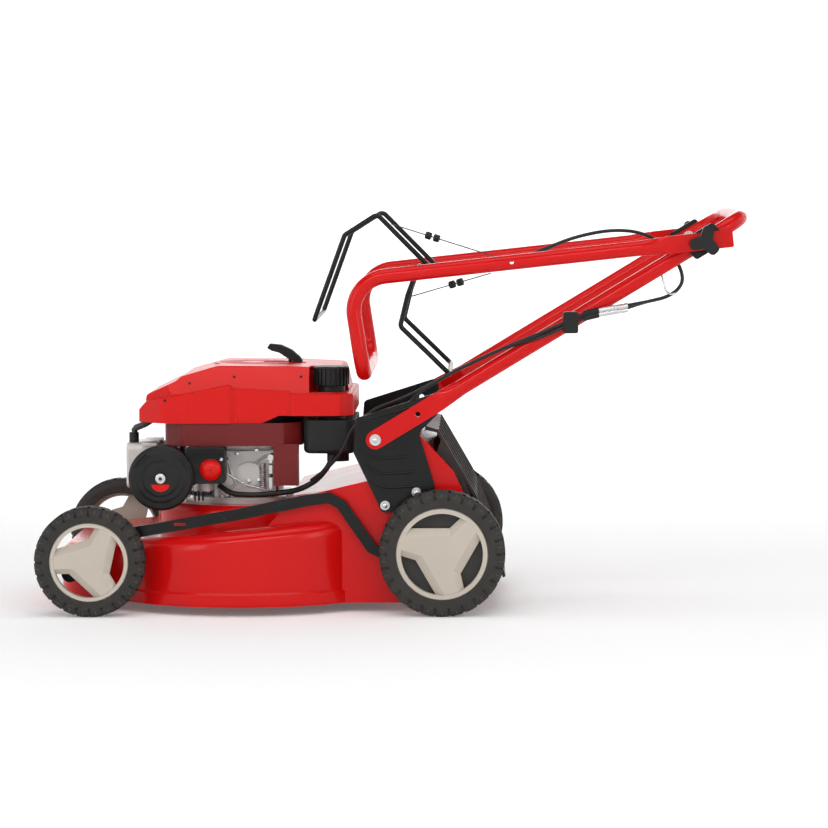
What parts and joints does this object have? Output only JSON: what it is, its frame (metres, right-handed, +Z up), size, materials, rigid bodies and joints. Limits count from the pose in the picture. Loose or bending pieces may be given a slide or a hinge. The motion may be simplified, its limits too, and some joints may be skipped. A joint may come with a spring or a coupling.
{
  "type": "lawn mower",
  "caption": "Walk-behind petrol lawn mower with steel deck, folding tubular handle, twin control bails, spoked wheels and rear discharge flap.",
  "frame": {"origin": "middle of the footprint on the ground", "axes": "+X to the rear, towards the handle, +Y to the mower's right, +Z up"},
  "size_m": [1.133, 0.522, 0.6396],
  "materials": {
    "red_paint": "gloss",
    "red_plastic": "gloss",
    "maroon_plastic": "satin",
    "black_paint": "satin",
    "black_plastic": "matte",
    "tyre_rubber": "matte",
    "trim_plastic": "satin",
    "zinc_steel": "satin",
    "cast_alloy": "cast",
    "cast_iron": "cast",
    "belt_rubber": "matte",
    "gear_plastic": "satin",
    "flap_plastic": "satin",
    "sheath_black": "satin"
  },
  "bodies": {
    "chassis": {"deck_housing": "red_paint", "left_handle_bracket": "black_paint", "right_handle_bracket": "black_paint", "bracket_bolts": "zinc_steel", "lower_handle": "red_paint", "handle_bolts": "zinc_steel", "fold_spacers": "black_plastic", "height_notch_plate": "black_paint", "axle_bearings": "black_plastic", "hinge_rod": "zinc_steel", "crankcase": "cast_alloy", "cylinder_head": "cast_alloy", "rocker_cover": "cast_alloy", "plug_lead": "sheath_black", "blower_housing": "maroon_plastic", "engine_cover": "red_plastic", "starter_grille": "black_plastic", "fuel_tank": "black_plastic", "carburettor": "cast_alloy", "air_filter_housing": "black_plastic", "air_filter_cover": "black_plastic", "muffler": "zinc_steel", "governor_linkage": "zinc_steel", "gearbox": "cast_alloy", "drive_belt": "belt_rubber", "fuel_hose": "sheath_black", "control_cables_lower": "sheath_black", "cable_clip": "black_plastic"},
    "front_axle": {"front_axle": "zinc_steel"},
    "rear_carrier": {"rear_carrier": "black_paint"},
    "height_link": {"height_link": "black_paint"},
    "drive_shaft": {"drive_shaft": "zinc_steel"},
    "gearbox_pulley": {"gearbox_pulley": "zinc_steel"},
    "crank_and_blade": {"crankshaft": "zinc_steel", "flywheel": "cast_iron", "blade_adapter": "cast_iron", "blade": "black_paint"},
    "starter_grip": {"starter_grip": "black_plastic"},
    "primer_bulb": {"primer_bulb": "red_plastic"},
    "fuel_cap": {"fuel_cap": "black_plastic"},
    "discharge_flap": {"discharge_flap": "flap_plastic"},
    "upper_handle": {"upper_handle": "red_paint", "control_cables_upper": "sheath_black", "bail_wires": "sheath_black"},
    "drive_bail": {"drive_bail": "black_paint"},
    "brake_bail": {"brake_bail": "black_paint"},
    "front_left_wheel": {"front_left_tyre": "tyre_rubber", "front_left_trim": "trim_plastic"},
    "rear_left_wheel": {"rear_left_tyre": "tyre_rubber", "rear_left_trim": "trim_plastic", "left_ring_gear": "gear_plastic"},
    "left_pinion": {"left_pinion": "gear_plastic"},
    "left_star_knob": {"left_star_knob": "black_plastic"},
    "front_right_wheel": {"front_right_tyre": "tyre_rubber", "front_right_trim": "trim_plastic"},
    "rear_right_wheel": {"rear_right_tyre": "tyre_rubber", "rear_right_trim": "trim_plastic", "right_ring_gear": "gear_plastic"},
    "right_pinion": {"right_pinion": "gear_plastic"},
    "right_star_knob": {"right_star_knob": "black_plastic"}
  },
  "joints": [
    {"name": "cutting_height", "type": "hinge", "parent": "chassis", "child": "front_axle", "pos_m": [-0.51821, 0, 0.06235], "axis": [0, 1, 0], "range_deg": [0, 67.96]},
    {"name": "rear_carrier_swing", "type": "hinge", "parent": "chassis", "child": "rear_carrier", "pos_m": [0.03979, 0, 0.07485], "axis": [0, 1, 0], "range_deg": [0, 67.96]},
    {"name": "height_link_pivot", "type": "hinge", "parent": "front_axle", "child": "height_link", "pos_m": [-0.53498, -0.204, 0.08723], "axis": [0, 1, 0], "range_deg": [-67.96, 0]},
    {"name": "front_left_wheel_spin", "type": "hinge", "parent": "front_axle", "child": "front_left_wheel", "pos_m": [-0.4809, -0.24, 0.0875], "axis": [0, 1, 0], "continuous": true},
    {"name": "rear_left_wheel_spin", "type": "hinge", "parent": "rear_carrier", "child": "rear_left_wheel", "pos_m": [0.07711, -0.24, 0.1], "axis": [0, 1, 0], "continuous": true},
    {"name": "left_pinion_spin", "type": "hinge", "parent": "rear_carrier", "child": "left_pinion", "pos_m": [0.03979, -0.23, 0.07485], "axis": [0, 1, 0], "continuous": true},
    {"name": "front_right_wheel_spin", "type": "hinge", "parent": "front_axle", "child": "front_right_wheel", "pos_m": [-0.4809, 0.24, 0.0875], "axis": [0, 1, 0], "continuous": true},
    {"name": "rear_right_wheel_spin", "type": "hinge", "parent": "rear_carrier", "child": "rear_right_wheel", "pos_m": [0.07711, 0.24, 0.1], "axis": [0, 1, 0], "continuous": true},
    {"name": "right_pinion_spin", "type": "hinge", "parent": "rear_carrier", "child": "right_pinion", "pos_m": [0.03979, 0.23, 0.07485], "axis": [0, 1, 0], "continuous": true},
    {"name": "drive_shaft_spin", "type": "hinge", "parent": "chassis", "child": "drive_shaft", "pos_m": [0.03979, 0, 0.07485], "axis": [0, 1, 0], "continuous": true},
    {"name": "gearbox_pulley_spin", "type": "hinge", "parent": "chassis", "child": "gearbox_pulley", "pos_m": [0.02411, 0, 0.101], "axis": [0, 0, 1], "continuous": true},
    {"name": "crank_spin", "type": "hinge", "parent": "chassis", "child": "crank_and_blade", "pos_m": [-0.2439, 0, 0.1], "axis": [0, 0, 1], "continuous": true},
    {"name": "starter_pull", "type": "slide", "parent": "chassis", "child": "starter_grip", "axis": [0, 0, 1], "range_m": [0, 0.8], "stiffness_N_per_m": 8},
    {"name": "primer_press", "type": "slide", "parent": "chassis", "child": "primer_bulb", "axis": [0, 1, 0], "range_m": [0, 0.004], "stiffness_N_per_m": 800},
    {"name": "fuel_cap_twist", "type": "hinge", "parent": "chassis", "child": "fuel_cap", "pos_m": [-0.1029, -0.092, 0.37], "axis": [0, 0, 1], "range_deg": [0, 90]},
    {"name": "discharge_flap_hinge", "type": "hinge", "parent": "chassis", "child": "discharge_flap", "pos_m": [0.04711, 0, 0.294], "axis": [0, 1, 0], "range_deg": [-75, 0], "stiffness_Nm_per_rad": 2},
    {"name": "handle_fold", "type": "hinge", "parent": "chassis", "child": "upper_handle", "pos_m": [0.49211, 0, 0.591], "axis": [0, 1, 0], "range_deg": [0, 155], "deforming": ["control_cables_upper"]},
    {"name": "left_star_knob_turn", "type": "hinge", "parent": "chassis", "child": "left_star_knob", "pos_m": [0.49211, -0.228, 0.591], "axis": [0, 1, 0], "continuous": true},
    {"name": "right_star_knob_turn", "type": "hinge", "parent": "chassis", "child": "right_star_knob", "pos_m": [0.49211, 0.228, 0.591], "axis": [0, 1, 0], "continuous": true},
    {"name": "drive_bail_squeeze", "type": "hinge", "parent": "upper_handle", "child": "drive_bail", "pos_m": [0.06211, 0, 0.54505], "axis": [0, 1, 0], "range_deg": [-28, 0], "stiffness_Nm_per_rad": 6},
    {"name": "brake_bail_squeeze", "type": "hinge", "parent": "upper_handle", "child": "brake_bail", "pos_m": [0.0361, 0, 0.54227], "axis": [0, 1, 0], "range_deg": [0, 37], "stiffness_Nm_per_rad": 6}
  ],
  "couplings": [
    {"joint": "rear_carrier_swing", "follows": "cutting_height", "ratio": 1},
    {"joint": "height_link_pivot", "follows": "cutting_height", "ratio": -1},
    {"joint": "left_pinion_spin", "follows": "rear_left_wheel_spin", "ratio": 4.75},
    {"joint": "right_pinion_spin", "follows": "rear_right_wheel_spin", "ratio": 4.75},
    {"joint": "gearbox_pulley_spin", "follows": "crank_spin", "ratio": 0.75}
  ]
}
